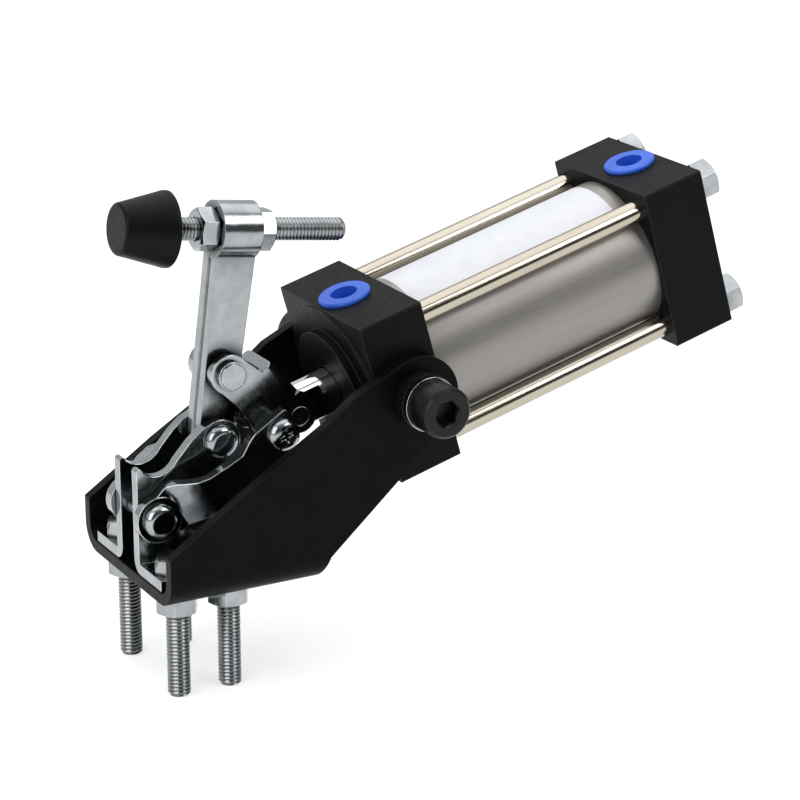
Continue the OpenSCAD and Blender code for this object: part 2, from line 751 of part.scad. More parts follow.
// Port plugs: a low ring with a bevelled rim and a blind hole
module port_plug(x) {
    color("#1f5fc4") raised() cyl_frame() translate([x, 0, head_half]) difference() {
        union() {
            cylinder(d = plug_d, h = plug_h - 0.4);
            translate([0, 0, plug_h - 0.4]) cylinder(d1 = plug_d, d2 = plug_d - 0.8, h = 0.4);
            translate([0, 0, 1 - port_depth]) cylinder(d = port_d - 2 * run, h = port_depth - 1);
        }
        translate([0, 0, 3 - port_depth]) cylinder(d = plug_hole_d, h = port_depth);
    }
}

module port_plug_front() { port_plug(-port_shift); }
module port_plug_rear() { port_plug(rear_c + port_shift); }

// Trunnion: a flanged bush in each ear, a spring washer and a socket head screw
module trunnion_screws() {
    color("#c2c4c6") raised() both() difference() {
        union() {
            bar_y(T, screw_d / 2, screw_end, washer_face + fine);
            bar_y(T, screw_head_d / 2, washer_face, washer_face + screw_head_h - 0.7);
            translate([T[0], washer_face + screw_head_h - 0.7, T[1]]) rotate([-90, 0, 0])
                cylinder(d1 = screw_head_d, d2 = screw_head_d - 1.4, h = 0.7);
        }
        translate([T[0], washer_face + screw_head_h - 4, T[1]]) rotate([-90, 0, 0])
            cylinder(d = socket_af / cos(30), h = 5, $fn = 6);
    }
}

module spring_washers() {
    color("#c8cacc") raised() both() difference() {
        bar_y(T, washer_d / 2, bush_face, washer_face);
        bar_y(T, screw_d / 2 + 0.2, bush_face - 1, washer_face + 1);
        translate([T[0], bush_face - 1, T[1]]) rotate([0, 35, 0])
            translate([0, 0, -0.4]) cube([washer_d, washer_t + 2, 0.8]);
    }
}

module trunnion_bushes() {
    color("#232325") raised() both() difference() {
        union() {
            bar_y(T, bush_d / 2, screw_end, bush_face);
            bar_y(T, bush_d / 2 + 2.5, screw_end, wall_in);
            bar_y(T, bush_d / 2 + 1.5, bracket_half_w, bush_face);
        }
        bar_y(T, screw_d / 2 + run, screw_end - 1, bush_face + 1);
    }
}

// Spindle with its cap and two nuts, in the arm's frame
module spindle() {
    head_x = -cap_front + cap_len - 5;
    color("#c8cacc") raised() arm_frame() translate([0, 0, spindle_z]) {
        hex_x(hex_af, head_x - bolt_head_h, head_x, 30);
        bar_x(spindle_d / 2, head_x - fine, spindle_rear - 0.7);
        translate([spindle_rear - 0.7, 0, 0]) rotate([0, 90, 0])
            cylinder(r1 = spindle_d / 2, r2 = spindle_d / 2 - 0.7, h = 0.7);
    }
}

module spindle_nut(x0, turn) {
    color("#c8cacc") raised() arm_frame() translate([0, 0, spindle_z]) difference() {
        translate([x0, 0, 0]) rotate([0, 90, 0]) rotate([0, 0, turn]) hex_body(hex_af, nut_h, 1);
        bar_x(spindle_d / 2 + run, x0 - 1, x0 + nut_h + 1);
    }
}

module spindle_nut_front() { spindle_nut(-arm_front - nut_h, 0); }
module spindle_nut_rear() { spindle_nut(arm_rear_top, 30); }

// Rubber cap: a flared cup with a rounded face over the spindle's head
module rubber_cap() {
    edge = 1;
    x1 = -cap_front + cap_len;
    head_x = x1 - 5;
    color("#232323") raised() arm_frame() translate([0, 0, spindle_z]) difference() {
        translate([-cap_front, 0, 0]) rotate([0, 90, 0]) rotate_extrude() {
            square([cap_face_d / 2 - edge, cap_len]);
            translate([cap_face_d / 2 - edge, edge]) circle(r = edge);
            polygon([[0, edge], [cap_face_d / 2, edge], [cap_wide_d / 2, cap_len - 0.8],
                     [cap_wide_d / 2, cap_len], [0, cap_len]]);
        }
        hex_x(hex_af + 0.04, head_x - bolt_head_h - 0.02, head_x + 0.02, 30);
        bar_x(spindle_d / 2 + 0.3, head_x, x1 + 1);
    }
}

bracket();
base_plate_near();
base_plate_far();
mounting_bolts();
mounting_nuts();
arm();
arm_pivot_rivet();
link_near();
link_far();
link_pivot_rivet();
coupler();
coupler_rivet();
knee_spacers();
knee_screws();
rod_pin();
piston_rod();
piston();
piston_seal();
wear_ring();
rod_bush();
rod_seal();
front_head();
rear_head();
tube();
tube_seals();
tie_rods();
tie_rod_nuts();
port_plug_front();
port_plug_rear();
trunnion_screws();
spring_washers();
trunnion_bushes();
spindle();
spindle_nut_front();
spindle_nut_rear();
rubber_cap();
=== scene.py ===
# %% [markdown]
# # A pneumatic toggle clamp, dressed for the camera
# A small factory clamp: an air cylinder pushes a folded steel arm down on a workpiece.
# The sizes and the moving bodies come from a packed construction model. This lesson gives
# it real threads, a knurl, a screw recess and the finishes that the metal, paint, plastic
# and rubber have on the bench.

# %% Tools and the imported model
import json
import math

import bmesh
import bpy
from mathutils import Matrix, Vector


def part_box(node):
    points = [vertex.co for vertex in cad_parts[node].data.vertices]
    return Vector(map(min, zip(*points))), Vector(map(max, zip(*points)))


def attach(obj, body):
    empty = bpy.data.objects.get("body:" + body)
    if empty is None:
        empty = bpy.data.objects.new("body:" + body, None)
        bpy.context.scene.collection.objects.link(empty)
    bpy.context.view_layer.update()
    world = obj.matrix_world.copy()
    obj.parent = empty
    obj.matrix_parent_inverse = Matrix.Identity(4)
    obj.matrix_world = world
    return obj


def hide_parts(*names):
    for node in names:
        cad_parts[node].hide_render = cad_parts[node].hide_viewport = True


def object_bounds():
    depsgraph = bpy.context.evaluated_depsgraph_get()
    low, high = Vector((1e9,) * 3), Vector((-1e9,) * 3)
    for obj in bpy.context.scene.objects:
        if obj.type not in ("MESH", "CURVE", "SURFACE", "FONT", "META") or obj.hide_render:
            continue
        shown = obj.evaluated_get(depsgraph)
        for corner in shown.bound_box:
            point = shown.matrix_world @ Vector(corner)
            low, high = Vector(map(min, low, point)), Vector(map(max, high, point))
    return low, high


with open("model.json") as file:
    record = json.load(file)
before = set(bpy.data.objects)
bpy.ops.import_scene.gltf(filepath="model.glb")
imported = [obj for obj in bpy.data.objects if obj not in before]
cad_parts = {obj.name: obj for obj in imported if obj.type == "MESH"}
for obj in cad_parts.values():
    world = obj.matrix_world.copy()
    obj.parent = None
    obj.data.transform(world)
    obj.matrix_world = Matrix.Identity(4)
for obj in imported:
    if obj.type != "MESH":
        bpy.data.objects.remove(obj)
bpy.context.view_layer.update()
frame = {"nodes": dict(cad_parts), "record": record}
MM = 0.001

# %% [markdown]
# ## The places that everything hangs on
# The record names each pivot, so nothing is measured twice. The arm leans back a little and
# the cylinder rises towards its rear, so each gets a frame of its own: a matrix that takes
# simple upright coordinates to the leaning place. Turning the finished object would do the
# same, but a piece has to stay unturned at the origin, so the matrix moves its vertices.

# %% Pivots and the two leaning frames
JOINTS = {joint["name"]: joint for joint in frame["record"]["behaviour"]["joints"]}
PIVOT_A = Vector(JOINTS["arm_pivot"]["pos_m"])
SLIDE = Vector(JOINTS["spindle_adjust"]["axis"])
AXIS = Vector(JOINTS["cylinder_stroke"]["axis"])
ARM_LEAN = math.atan2(-SLIDE.z, SLIDE.x)
CYLINDER_LEAN = -math.atan2(AXIS.z, AXIS.x)
low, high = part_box("trunnion_screws")
TRUNNION = (low + high) / 2
ARM = Matrix.Translation(PIVOT_A) @ Matrix.Rotation(ARM_LEAN, 4, "Y")
CYLINDER = Matrix.Translation(TRUNNION) @ Matrix.Rotation(CYLINDER_LEAN, 4, "Y")
Z_TO_X = Matrix.Rotation(math.radians(90), 4, "Y")
print("arm pivot", PIVOT_A, "trunnion", TRUNNION)
print("arm leans", math.degrees(ARM_LEAN), "cylinder", math.degrees(CYLINDER_LEAN), "degrees")


def corners_in(node, place):
    """Lowest and highest corner of a node, measured in a leaning frame."""
    back = place.inverted()
    points = [back @ v.co for v in frame["nodes"][node].data.vertices]
    return Vector(map(min, *points)), Vector(map(max, *points))


# %% [markdown]
# ## The camera
# The photograph is a product shot from the front left and a little above, taken with a long
# lens from about 70 cm. The place and the lens were solved from the square heads and the
# straight rods, so that each corner falls on its own pixel.

# %% Camera
CAMERA_PLACE = (-0.27444, -0.61700, 0.27627)
CAMERA_TILT, CAMERA_TURN = math.radians(71.48), math.radians(-28.88)
LENS_MM, SENSOR_MM = 125.6, 36.0

camera = bpy.data.objects.new("camera", bpy.data.cameras.new("camera"))
bpy.context.collection.objects.link(camera)
camera.location = CAMERA_PLACE
camera.rotation_euler = (CAMERA_TILT, 0.0, CAMERA_TURN)
camera.data.sensor_width, camera.data.lens = SENSOR_MM, LENS_MM
camera.data.clip_start = 10 * MM
bpy.context.scene.camera = camera
print("lens", camera.data.lens, "mm")

# %% [markdown]
# ## Nodes by one small function
# A material is a graph of nodes. Writing it by hand needs the same three steps each time:
# make the node, set its values, link its inputs. One function does them, so each material
# below reads as a list of what happens to the surface. Every material starts from one shader
# and from Object coordinates, which stay with the piece when it moves.


# %% Colours, nodes and a first surface
def linear(hex_colour):
    """An sRGB hex colour as the linear RGBA that the shaders expect."""
    values = [int(hex_colour[i:i + 2], 16) / 255 for i in (1, 3, 5)]
    curve = [v / 12.92 if v <= 0.04045 else ((v + 0.055) / 1.055) ** 2.4 for v in values]
    return (*curve, 1.0)


def add(tree, kind, values=None, links=None, **settings):
    """Adds one node, sets its options and sockets, and links its inputs."""
    node = tree.nodes.new("ShaderNode" + kind)
    for name, value in settings.items():
        setattr(node, name, value)
    for name, value in (values or {}).items():
        node.inputs[name].default_value = value
    for name, source in (links or {}).items():
        tree.links.new(source, node.inputs[name])
    return node


def surface(name, values=None):
    """A new material, with its node tree, its shader and its Object coordinates."""
    material = bpy.data.materials.new(name)
    material.use_nodes = True
    tree = material.node_tree
    tree.nodes.clear()
    shader = add(tree, "BsdfPrincipled", values)
    add(tree, "OutputMaterial", None, {"Surface": shader.outputs["BSDF"]})
    return material, tree, shader, add(tree, "TexCoord").outputs["Object"]


# %% [markdown]
# ## Patterns in real millimetres
# No surface is the same all over. Each pattern here is noise whose cells have a real size,
# and it is turned into a blend of two colours or of two numbers. A painted image could do
# this too, but noise needs no unwrapping and never shows a seam.


# %% Pattern helpers
def speckle(tree, coords, size_mm, detail=4.0, rough=0.6, stretch=(1, 1, 1)):
    """Noise with cells of a real size, drawn out along an axis where stretch is small."""
    place = add(tree, "Mapping", {"Scale": stretch}, {"Vector": coords})
    noise = add(tree, "TexNoise", {"Scale": 1.0 / (size_mm * MM), "Detail": detail,
                                   "Roughness": rough}, {"Vector": place.outputs["Vector"]})
    return noise.outputs["Fac"]


def vary(tree, pattern, low_end, high_end, start=0.3, end=0.7):
    """Turns a pattern from start to end into a blend of two hex colours or two numbers."""
    if isinstance(low_end, str):
        ramp = add(tree, "ValToRGB", None, {"Fac": pattern})
        first, last = ramp.color_ramp.elements
        first.position, last.position = start, end
        first.color, last.color = linear(low_end), linear(high_end)
        return ramp.outputs["Color"]
    scaled = add(tree, "MapRange", {"From Min": start, "From Max": end, "To Min": low_end,
                                    "To Max": high_end}, {"Value": pattern})
    return scaled.outputs["Result"]


def drive(tree, shader, colour, roughness):
    """Links a colour and a roughness to the shader."""
    tree.links.new(colour, shader.inputs["Base Color"])
    tree.links.new(roughness, shader.inputs["Roughness"])


# %% [markdown]
# ## Edges and gaps, with painted highlights and painted shade
# No real edge is perfectly sharp. Stamped sheet has a rolled edge and machined blocks are
# deburred, and both catch a thin line of light. The Bevel node rounds the shading at each
# edge without changing the mesh, which suits the carried-over solids. Where its normal turns
# away from the face's own, an edge is near: the same node therefore also finds the strip
# that gets a painted highlight, a lighter colour. The Ambient Occlusion node finds the
# opposite, gaps and inner corners, which get painted shade, a darker colour.

# %% Edge and gap helpers
SHADING_SAMPLES = 6
EDGE_NEAR, EDGE_FAR = 0.8, 0.99  # how alike the two normals are beside an edge and off it
MIX_A, MIX_B, MIX_RESULT = 6, 7, 2  # where a Mix node keeps its two colours and its result


def relief(tree, shader, height, depth_mm, edge_mm=0.0, strength=1.0):
    """Bump of a real depth, on top of softened edges where edge_mm is given."""
    links = {"Height": height}
    if edge_mm:
        soft = add(tree, "Bevel", {"Radius": edge_mm * MM}, samples=SHADING_SAMPLES)
        links["Normal"] = soft.outputs["Normal"]
    bump = add(tree, "Bump", {"Strength": strength, "Distance": depth_mm * MM}, links)
    tree.links.new(bump.outputs["Normal"], shader.inputs["Normal"])


def painted_edge_highlight(tree, colour, light, width_mm, strength=1.0):
    """A painted highlight: lightens the last tenths of a millimetre before a rounded edge."""
    soft = add(tree, "Bevel", {"Radius": width_mm * MM}, samples=SHADING_SAMPLES)
    flat = add(tree, "NewGeometry")
    alike = add(tree, "VectorMath", None, {0: soft.outputs["Normal"],
                                           1: flat.outputs["Normal"]},
                operation="DOT_PRODUCT")
    mask = vary(tree, alike.outputs["Value"], strength, 0.0, EDGE_NEAR, EDGE_FAR)
    mixed = add(tree, "Mix", {MIX_B: linear(light)}, {0: mask, MIX_A: colour},
                data_type="RGBA")
    return mixed.outputs[MIX_RESULT]


def painted_crevice_shade(tree, colour, reach_mm, darkest, start=0.35, end=0.8):
    """Painted shade, darker where the surface sees less than a share of its surroundings."""
    near = add(tree, "AmbientOcclusion", {"Distance": reach_mm * MM},
               samples=SHADING_SAMPLES)
    shade = vary(tree, near.outputs["AO"], darkest, 1.0, start, end)
    mixed = add(tree, "Mix", {0: 1.0}, {MIX_A: colour, MIX_B: shade}, data_type="RGBA",
                blend_type="MULTIPLY")
    return mixed.outputs[MIX_RESULT]


# %% [markdown]
# ## Black powder coat
# The bracket is folded sheet with a baked black powder coat: a deep, even black with a low
# sheen. Powder melts into a very shallow orange peel, soft dimples about 1.5 mm apart. The
# greyer line along the cut edges is a painted highlight, where a rounded edge catches light.
# The dimples never show in the outline, so bump is enough for them. The specular level is
# low because the white studio would otherwise turn such a broad black face grey.

# %% Black powder coat
POWDER, tree, shader, coords = surface("black_powder_coat", {"Specular IOR Level": 0.07})
coat = vary(tree, speckle(tree, coords, 9.0), "#060606", "#0B0B0C")
# painted highlight: a grey line along the edges of the black coat
drive(tree, shader, painted_edge_highlight(tree, coat, "#303133", 0.4, strength=0.6),
      vary(tree, speckle(tree, coords, 4.0), 0.33, 0.46))
orange_peel = speckle(tree, coords, 1.5, detail=2.0, rough=0.4)
relief(tree, shader, orange_peel, depth_mm=0.02, edge_mm=0.5, strength=0.5)
print(POWDER.name)

# %% [markdown]
# ## Black anodised aluminium
# The two square heads are sawn from bar, milled, then blasted and anodised black. The dye
# leaves a deep satin black; the grey along the edges and corners is a painted highlight. The
# blasting grit shows as a fine grain. Real pits would take millions of faces, so it is bump,
# drawn at 0.25 mm: coarser than the real grain so that it still shows in the picture.

# %% Black anodised aluminium
ANODISED, tree, shader, coords = surface("black_anodised_aluminium",
                                         {"Specular IOR Level": 0.09})
dye = vary(tree, speckle(tree, coords, 12.0), "#0A0A0B", "#101011")
# painted highlight: grey along the edges and corners
drive(tree, shader, painted_edge_highlight(tree, dye, "#5A5C5E", 0.3, strength=0.8),
      vary(tree, speckle(tree, coords, 3.0), 0.38, 0.5))
grit = speckle(tree, coords, 0.25, detail=3.0)
relief(tree, shader, grit, depth_mm=0.01, edge_mm=0.35, strength=0.6)
print(ANODISED.name)

# %% [markdown]
# ## Bright zinc plate
# Stamped steel is barrel plated with zinc and passivated clear. It reflects like dull
# chrome with a cool tint. The sheet's rolling and the tumbling in the barrel leave soft
# waves a few millimetres wide, which bend the reflections, and a fine haze. A plain grey
# metal would look like a flat mirror, so the waves go in as bump and the haze as roughness.
# Cut edges get a painted highlight: a light line where a rounded edge shines. Gaps, the
# folded strip's slit and a thread's roots get painted shade, and a thread is duller than a
# face.

# %% Bright zinc plate
ZINC_EDGE_HIGHLIGHT = "#E6E9EA"
GAPS = {"reach_mm": 1.5, "darkest": 0.2}
SLIT = {"reach_mm": 4.0, "darkest": 0.05, "start": 0.6, "end": 1.0}
THREAD_ROOTS = {"reach_mm": 0.9, "darkest": 0.15, "start": 0.5, "end": 0.92}


def zinc(name, colours, haze, wave_mm, wave_depth_mm, shade_in_gaps, edge_mm=0.0, line=False):
    """Zinc plate; kinds differ in haze, waves, edges, painted highlights and painted shade.
    """
    material, tree, shader, coords = surface(name, {"Metallic": 1.0})
    plate = vary(tree, speckle(tree, coords, 7.0, detail=5.0), *colours)
    # with line set, a painted highlight lightens the edges
    if line:
        plate = painted_edge_highlight(tree, plate, ZINC_EDGE_HIGHLIGHT, edge_mm)
    # painted shade darkens gaps, the slit and thread roots
    drive(tree, shader, painted_crevice_shade(tree, plate, **shade_in_gaps),
          vary(tree, speckle(tree, coords, 1.2, detail=6.0, rough=0.7), *haze))
    waves = speckle(tree, coords, wave_mm, detail=1.0, rough=0.3)
    relief(tree, shader, waves, wave_depth_mm, edge_mm)
    return material


SHEET_COLOURS = ("#8A8F91", "#A6ABAD")
ZINC_SHEET = zinc("bright_zinc_sheet", SHEET_COLOURS, haze=(0.1, 0.2), wave_mm=5.0,
                  wave_depth_mm=0.05, shade_in_gaps=GAPS, edge_mm=0.35, line=True)
ZINC_FOLDED = zinc("zinc_folded_strip", SHEET_COLOURS, haze=(0.12, 0.22), wave_mm=5.0,
                   wave_depth_mm=0.05, shade_in_gaps=SLIT, edge_mm=0.3)
ZINC_HARDWARE = zinc("bright_zinc_hardware", ("#8C9092", "#ABAFB1"), haze=(0.1, 0.22),
                     wave_mm=3.0, wave_depth_mm=0.02, shade_in_gaps=GAPS, edge_mm=0.25,
                     line=True)
ZINC_THREAD = zinc("zinc_thread", ("#94989A", "#B0B4B6"), haze=(0.2, 0.32), wave_mm=2.0,
                   wave_depth_mm=0.01, shade_in_gaps=THREAD_ROOTS)
print(ZINC_SHEET.name, ZINC_FOLDED.name, ZINC_HARDWARE.name, ZINC_THREAD.name)

# %% [markdown]
# ## Black oxide steel
# The trunnion screws and their bushes are blackened steel: a thin conversion coat over
# turned metal. It is oiled, so it is as dark as the paint and shinier. The coat hides the
# metal, so the shader isn't metallic.

# %% Black oxide
BLACK_OXIDE, tree, shader, coords = surface("black_oxide_steel",
                                            {"Specular IOR Level": 0.25})
drive(tree, shader, vary(tree, speckle(tree, coords, 2.5), "#080809", "#101011"),
      vary(tree, speckle(tree, coords, 1.0), 0.28, 0.44))
relief(tree, shader, speckle(tree, coords, 0.4), depth_mm=0.008, edge_mm=0.2)
print(BLACK_OXIDE.name)

# %% [markdown]
# ## Hard chrome, drawn aluminium and nickel-plated steel
# The piston rod is ground and hard chromed: nearly a mirror. The tube is drawn aluminium
# with a clear anodised coat, satin, with draw lines along its length, 0.35 mm apart here,
# which is coarser than real ones so that they show. The tie rods are nickel plated, which is
# warmer than zinc or chrome, and are drawn too. The lines could come from an anisotropic
# shader, but stretched noise shows them from every side. It is turned to run along the
# leaning cylinder.

# %% Bright metals of the cylinder
CHROME, tree, shader, coords = surface("hard_chrome", {"Metallic": 1.0})
drive(tree, shader, vary(tree, speckle(tree, coords, 6.0), "#C9CBCD", "#DADCDD"),
      vary(tree, speckle(tree, coords, 0.8), 0.05, 0.12))


def along_cylinder(tree, coords):
    """Coordinates turned so that X runs along the leaning cylinder."""
    turned = add(tree, "Mapping", {"Rotation": (0.0, -CYLINDER_LEAN, 0.0)},
                 {"Vector": coords})
    return turned.outputs["Vector"]


TUBE, tree, shader, coords = surface("drawn_anodised_aluminium", {"Metallic": 0.7})
coords = along_cylinder(tree, coords)
draw_lines = speckle(tree, coords, 0.35, detail=3.0, rough=0.5, stretch=(0.01, 1, 1))
satin = speckle(tree, coords, 5.0, detail=3.0, rough=0.5, stretch=(0.2, 1, 1))
drive(tree, shader, vary(tree, draw_lines, "#918E8A", "#9A9793"),
      vary(tree, satin, 0.36, 0.44))
relief(tree, shader, draw_lines, depth_mm=0.0015, strength=0.3)

NICKEL, tree, shader, coords = surface("nickel_plated_steel", {"Metallic": 1.0})
coords = along_cylinder(tree, coords)
drive(tree, shader,
      vary(tree, speckle(tree, coords, 8.0, stretch=(0.1, 1, 1)), "#A79F8F", "#BDB6A8"),
      vary(tree, speckle(tree, coords, 1.5, stretch=(0.1, 1, 1)), 0.1, 0.2))
print(CHROME.name, TUBE.name, NICKEL.name)

# %% [markdown]
# ## Plastic, rubber, bronze and the label film
# The port plugs are moulded blue polyethylene, slightly waxy because a little light goes in.
# The cap is moulded black rubber with a fine mould grain and a soft sheen. The label is a
# bare white film. They differ only in colour, sheen and grain, so one function makes them
# all. The rod bush is sintered from bronze powder, whose grains leave a dull, speckled face.

# %% Moulded and soft materials
SMOOTHER, ROUGHER = 0.05, 0.07  # how far the roughness strays from its middle


def moulded(name, colours, roughness, grain_mm, depth_mm, values=None):
    """Plastic or rubber: one colour with a slight variation and a mould grain."""
    material, tree, shader, coords = surface(name, values)
    drive(tree, shader, vary(tree, speckle(tree, coords, 5.0), *colours),
          vary(tree, speckle(tree, coords, 2.0), roughness - SMOOTHER, roughness + ROUGHER))
    relief(tree, shader, speckle(tree, coords, grain_mm, detail=3.0), depth_mm, edge_mm=0.3)
    return material


BLUE_PLUG = moulded("blue_polyethylene", ("#2458C8", "#2E66DC"), roughness=0.38,
                    grain_mm=1.0, depth_mm=0.01,
                    values={"Subsurface Weight": 0.08,
                            "Subsurface Radius": (1 * MM, 1 * MM, 2 * MM)})
CAP_RUBBER = moulded("black_rubber", ("#08080A", "#0D0D0F"), roughness=0.4, grain_mm=0.4,
                     depth_mm=0.015, values={"Specular IOR Level": 0.12})
SEAL_RUBBER = moulded("nitrile_rubber", ("#121213", "#1A1A1B"), roughness=0.5, grain_mm=0.5,
                      depth_mm=0.01)
WEAR_PLASTIC = moulded("bearing_plastic", ("#CFC8B4", "#DDD7C6"), roughness=0.5,
                       grain_mm=0.6, depth_mm=0.01)
LABEL = moulded("white_label_film", ("#D6D8DE", "#DFE0E6"), roughness=0.45, grain_mm=2.0,
                depth_mm=0.002)

BRONZE, tree, shader, coords = surface("sintered_bronze", {"Metallic": 1.0})
drive(tree, shader, vary(tree, speckle(tree, coords, 0.5), "#8E6C3C", "#B08A50"),
      vary(tree, speckle(tree, coords, 0.4), 0.35, 0.5))
print(BLUE_PLUG.name, CAP_RUBBER.name, LABEL.name, BRONZE.name)

# %% [markdown]
# ## Dressing the solids that stay
# Most solids already have the right shape, so they only need their finish. A dictionary from
# finish to nodes keeps the choice in one place.

# %% Finishes of the solids
FINISHES = {
    POWDER: ["bracket"],
    ANODISED: ["front_head", "rear_head"],
    ZINC_SHEET: ["base_plate_near", "base_plate_far", "link_near", "link_far", "coupler"],
    ZINC_FOLDED: ["arm", "rod_pin"],
    ZINC_HARDWARE: ["mounting_nuts", "mounting_bolts", "arm_pivot_rivet", "link_pivot_rivet",
                    "coupler_rivet", "knee_spacers", "knee_screws", "tie_rod_nuts",
                    "spindle", "spindle_nut_front", "spindle_nut_rear", "spring_washers"],
    BLACK_OXIDE: ["trunnion_screws", "trunnion_bushes"],
    CHROME: ["piston_rod"],
    TUBE: ["tube", "piston"],
    NICKEL: ["tie_rods"],
    BLUE_PLUG: ["port_plug_front", "port_plug_rear"],
    CAP_RUBBER: ["rubber_cap"],
    SEAL_RUBBER: ["piston_seal", "rod_seal", "tube_seals"],
    WEAR_PLASTIC: ["wear_ring"],
    BRONZE: ["rod_bush"],
}
for finish, nodes in FINISHES.items():
    for node in nodes:
        data = frame["nodes"][node].data
        data.materials.clear()
        data.materials.append(finish)
print("dressed", sum(map(len, FINISHES.values())), "of", len(frame["nodes"]), "nodes")

# %% [markdown]
# ## From bmesh to a finished piece
# Every new piece ends the same way: merge doubles, turn the faces outwards, shade it
# smooth with sharp creases, hang it on its body's empty, and hide the solid it replaces.

# %% Finishing a piece
WELD = 0.001 * MM
CUT_TOLERANCE = 0.0001 * MM


def finished(bm, name, body, material, replaces=(), crease=32.0):
    bmesh.ops.remove_doubles(bm, verts=bm.verts, dist=WELD)
    bmesh.ops.recalc_face_normals(bm, faces=bm.faces)
    mesh = bpy.data.meshes.new(name)
    bm.to_mesh(mesh)
    bm.free()
    mesh.materials.append(material)
    for polygon in mesh.polygons:
        polygon.use_smooth = True
    mesh.set_sharp_from_angle(angle=math.radians(crease))
    piece = bpy.data.objects.new(name, mesh)
    bpy.context.collection.objects.link(piece)
    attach(piece, body)
    if replaces:
        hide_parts(*replaces)
    print(name, len(mesh.polygons), "faces on", body)


def merge_in(bm, other, place=Matrix()):
    """Adds a second bmesh to the first, moved by a matrix, and frees it."""
    bmesh.ops.transform(other, matrix=place, verts=other.verts)
    mesh = bpy.data.meshes.new("part_of_piece")
    other.to_mesh(mesh)
    other.free()
    bm.from_mesh(mesh)
    bpy.data.meshes.remove(mesh)


def copied_solid(node):
    """A merged copy of a carried-over solid, to keep a part of its shape."""
    bm = bmesh.new()
    bm.from_mesh(frame["nodes"][node].data)
    bmesh.ops.remove_doubles(bm, verts=bm.verts, dist=WELD)
    return bm


def cut_away(bm, point, normal):
    """Cuts everything on the normal's side of a plane away and closes the cut."""
    geometry = bm.verts[:] + bm.edges[:] + bm.faces[:]
    cut = bmesh.ops.bisect_plane(bm, geom=geometry, plane_co=point, plane_no=normal,
                                 clear_outer=True, dist=CUT_TOLERANCE)
    edges = [e for e in cut["geom_cut"] if isinstance(e, bmesh.types.BMEdge)]
    bmesh.ops.holes_fill(bm, edges=edges, sides=0)


def chain(bm, points):
    """A line of vertices and edges in the XZ plane, ready to be spun."""
    verts = [bm.verts.new((x, 0.0, z)) for x, z in points]
    return verts + [bm.edges.new(pair) for pair in zip(verts, verts[1:])]


# %% [markdown]
# ## Screw threads
# A rolled thread is one V groove wound round the bar. The outline of a single tooth is spun
# round the axis while it climbs by one pitch a turn, so that each turn's lower edge meets the
# last turn's upper edge. The two ragged ends are then cut flat and closed, and a light
# chamfer pulls the first turn in. A bump would be quicker, but the teeth show in the outline.

# %% Threaded bar along Z
PITCH_M6 = 1.0 * MM
DEPTH_SHARE = 0.61  # of a metric thread's pitch
HALF_ROOT, HALF_CREST = 0.12, 0.06  # flats at the root and the crest, in pitches
END_CHAMFER = 0.6 * MM
WELD_THREAD = 0.002 * MM
STEPS_A_TURN = 24


def threaded_bar(length, diameter, pitch):
    """A closed threaded bar from z = 0 to z = length, chamfered at both ends."""
    major, minor = diameter / 2, diameter / 2 - DEPTH_SHARE * pitch
    tooth = [(minor, 0.0), (minor, HALF_ROOT), (major, 0.5 - HALF_CREST),
             (major, 0.5 + HALF_CREST), (minor, 1.0 - HALF_ROOT), (minor, 1.0)]
    turns = math.ceil(length / pitch) + 2
    bm = bmesh.new()
    line = chain(bm, [(radius, (share - 1.0) * pitch) for radius, share in tooth])
    bmesh.ops.spin(bm, geom=line, cent=(0, 0, 0), axis=(0, 0, 1),
                   dvec=(0, 0, pitch / STEPS_A_TURN), angle=math.tau * turns,
                   steps=STEPS_A_TURN * turns, use_merge=False, use_duplicate=False)
    bmesh.ops.remove_doubles(bm, verts=bm.verts, dist=WELD_THREAD)
    cut_away(bm, (0, 0, 0), (0, 0, -1))
    cut_away(bm, (0, 0, length), (0, 0, 1))
    for vert in bm.verts:
        from_end = min(vert.co.z, length - vert.co.z)
        limit = major - max(0.0, END_CHAMFER - from_end)
        radius = math.hypot(vert.co.x, vert.co.y)
        if radius > limit:
            vert.co.xy *= limit / radius
    return bm


# %% [markdown]
# ## The four mounting bolts
# Only the thread is new. The hex head is cut from a copy of the solid, so it keeps its exact
# place on the foot of the base plates.

# %% Mounting bolts
SHEET = 3 * MM
HEAD_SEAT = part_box("base_plate_near")[0].z + SHEET
STUD_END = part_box("mounting_bolts")[0].z
studs = frame["record"]["mounts"][0]["dims"]
bm = copied_solid("mounting_bolts")
cut_away(bm, (0, 0, HEAD_SEAT), (0, 0, -1))
for side_x in (-1, 1):
    for side_y in (-1, 1):
        foot = Vector((side_x * studs["spacing_x_mm"] / 2 * MM,
                       side_y * studs["spacing_y_mm"] / 2 * MM, STUD_END))
        bar = threaded_bar(HEAD_SEAT - STUD_END, studs["stud_r_mm"] * 2 * MM, PITCH_M6)
        merge_in(bm, bar, Matrix.Translation(foot))
print("heads seated at", HEAD_SEAT, "studs end at", STUD_END)
finished(bm, "mounting_bolts_threaded", "root", ZINC_THREAD,
         ["mounting_bolts"])

# %% [markdown]
# ## The spindle
# The spindle is the same thread, laid along the arm's own frame. Its hex head sits inside
# the rubber cap and comes from the solid, since nobody sees it.

# %% Spindle
SPINDLE_D, SPINDLE_HEAD = 6 * MM, 4 * MM
low, high = corners_in("spindle", ARM)
under_head = low.x + SPINDLE_HEAD
bm = copied_solid("spindle")
cut_away(bm, ARM @ Vector((under_head, 0, 0)), ARM.to_3x3() @ Vector((1, 0, 0)))
bar = threaded_bar(high.x - under_head, SPINDLE_D, PITCH_M6)
merge_in(bm, bar, ARM @ Matrix.Translation((under_head, 0, (low.z + high.z) / 2)) @ Z_TO_X)
finished(bm, "spindle_threaded", "spindle", ZINC_THREAD, ["spindle"])

# %% [markdown]
# ## New heads for old shanks
# The trunnion and the knee have one screw on each side. Both keep the shank of their solid
# and get a new head, made once facing up and then turned to face outwards.


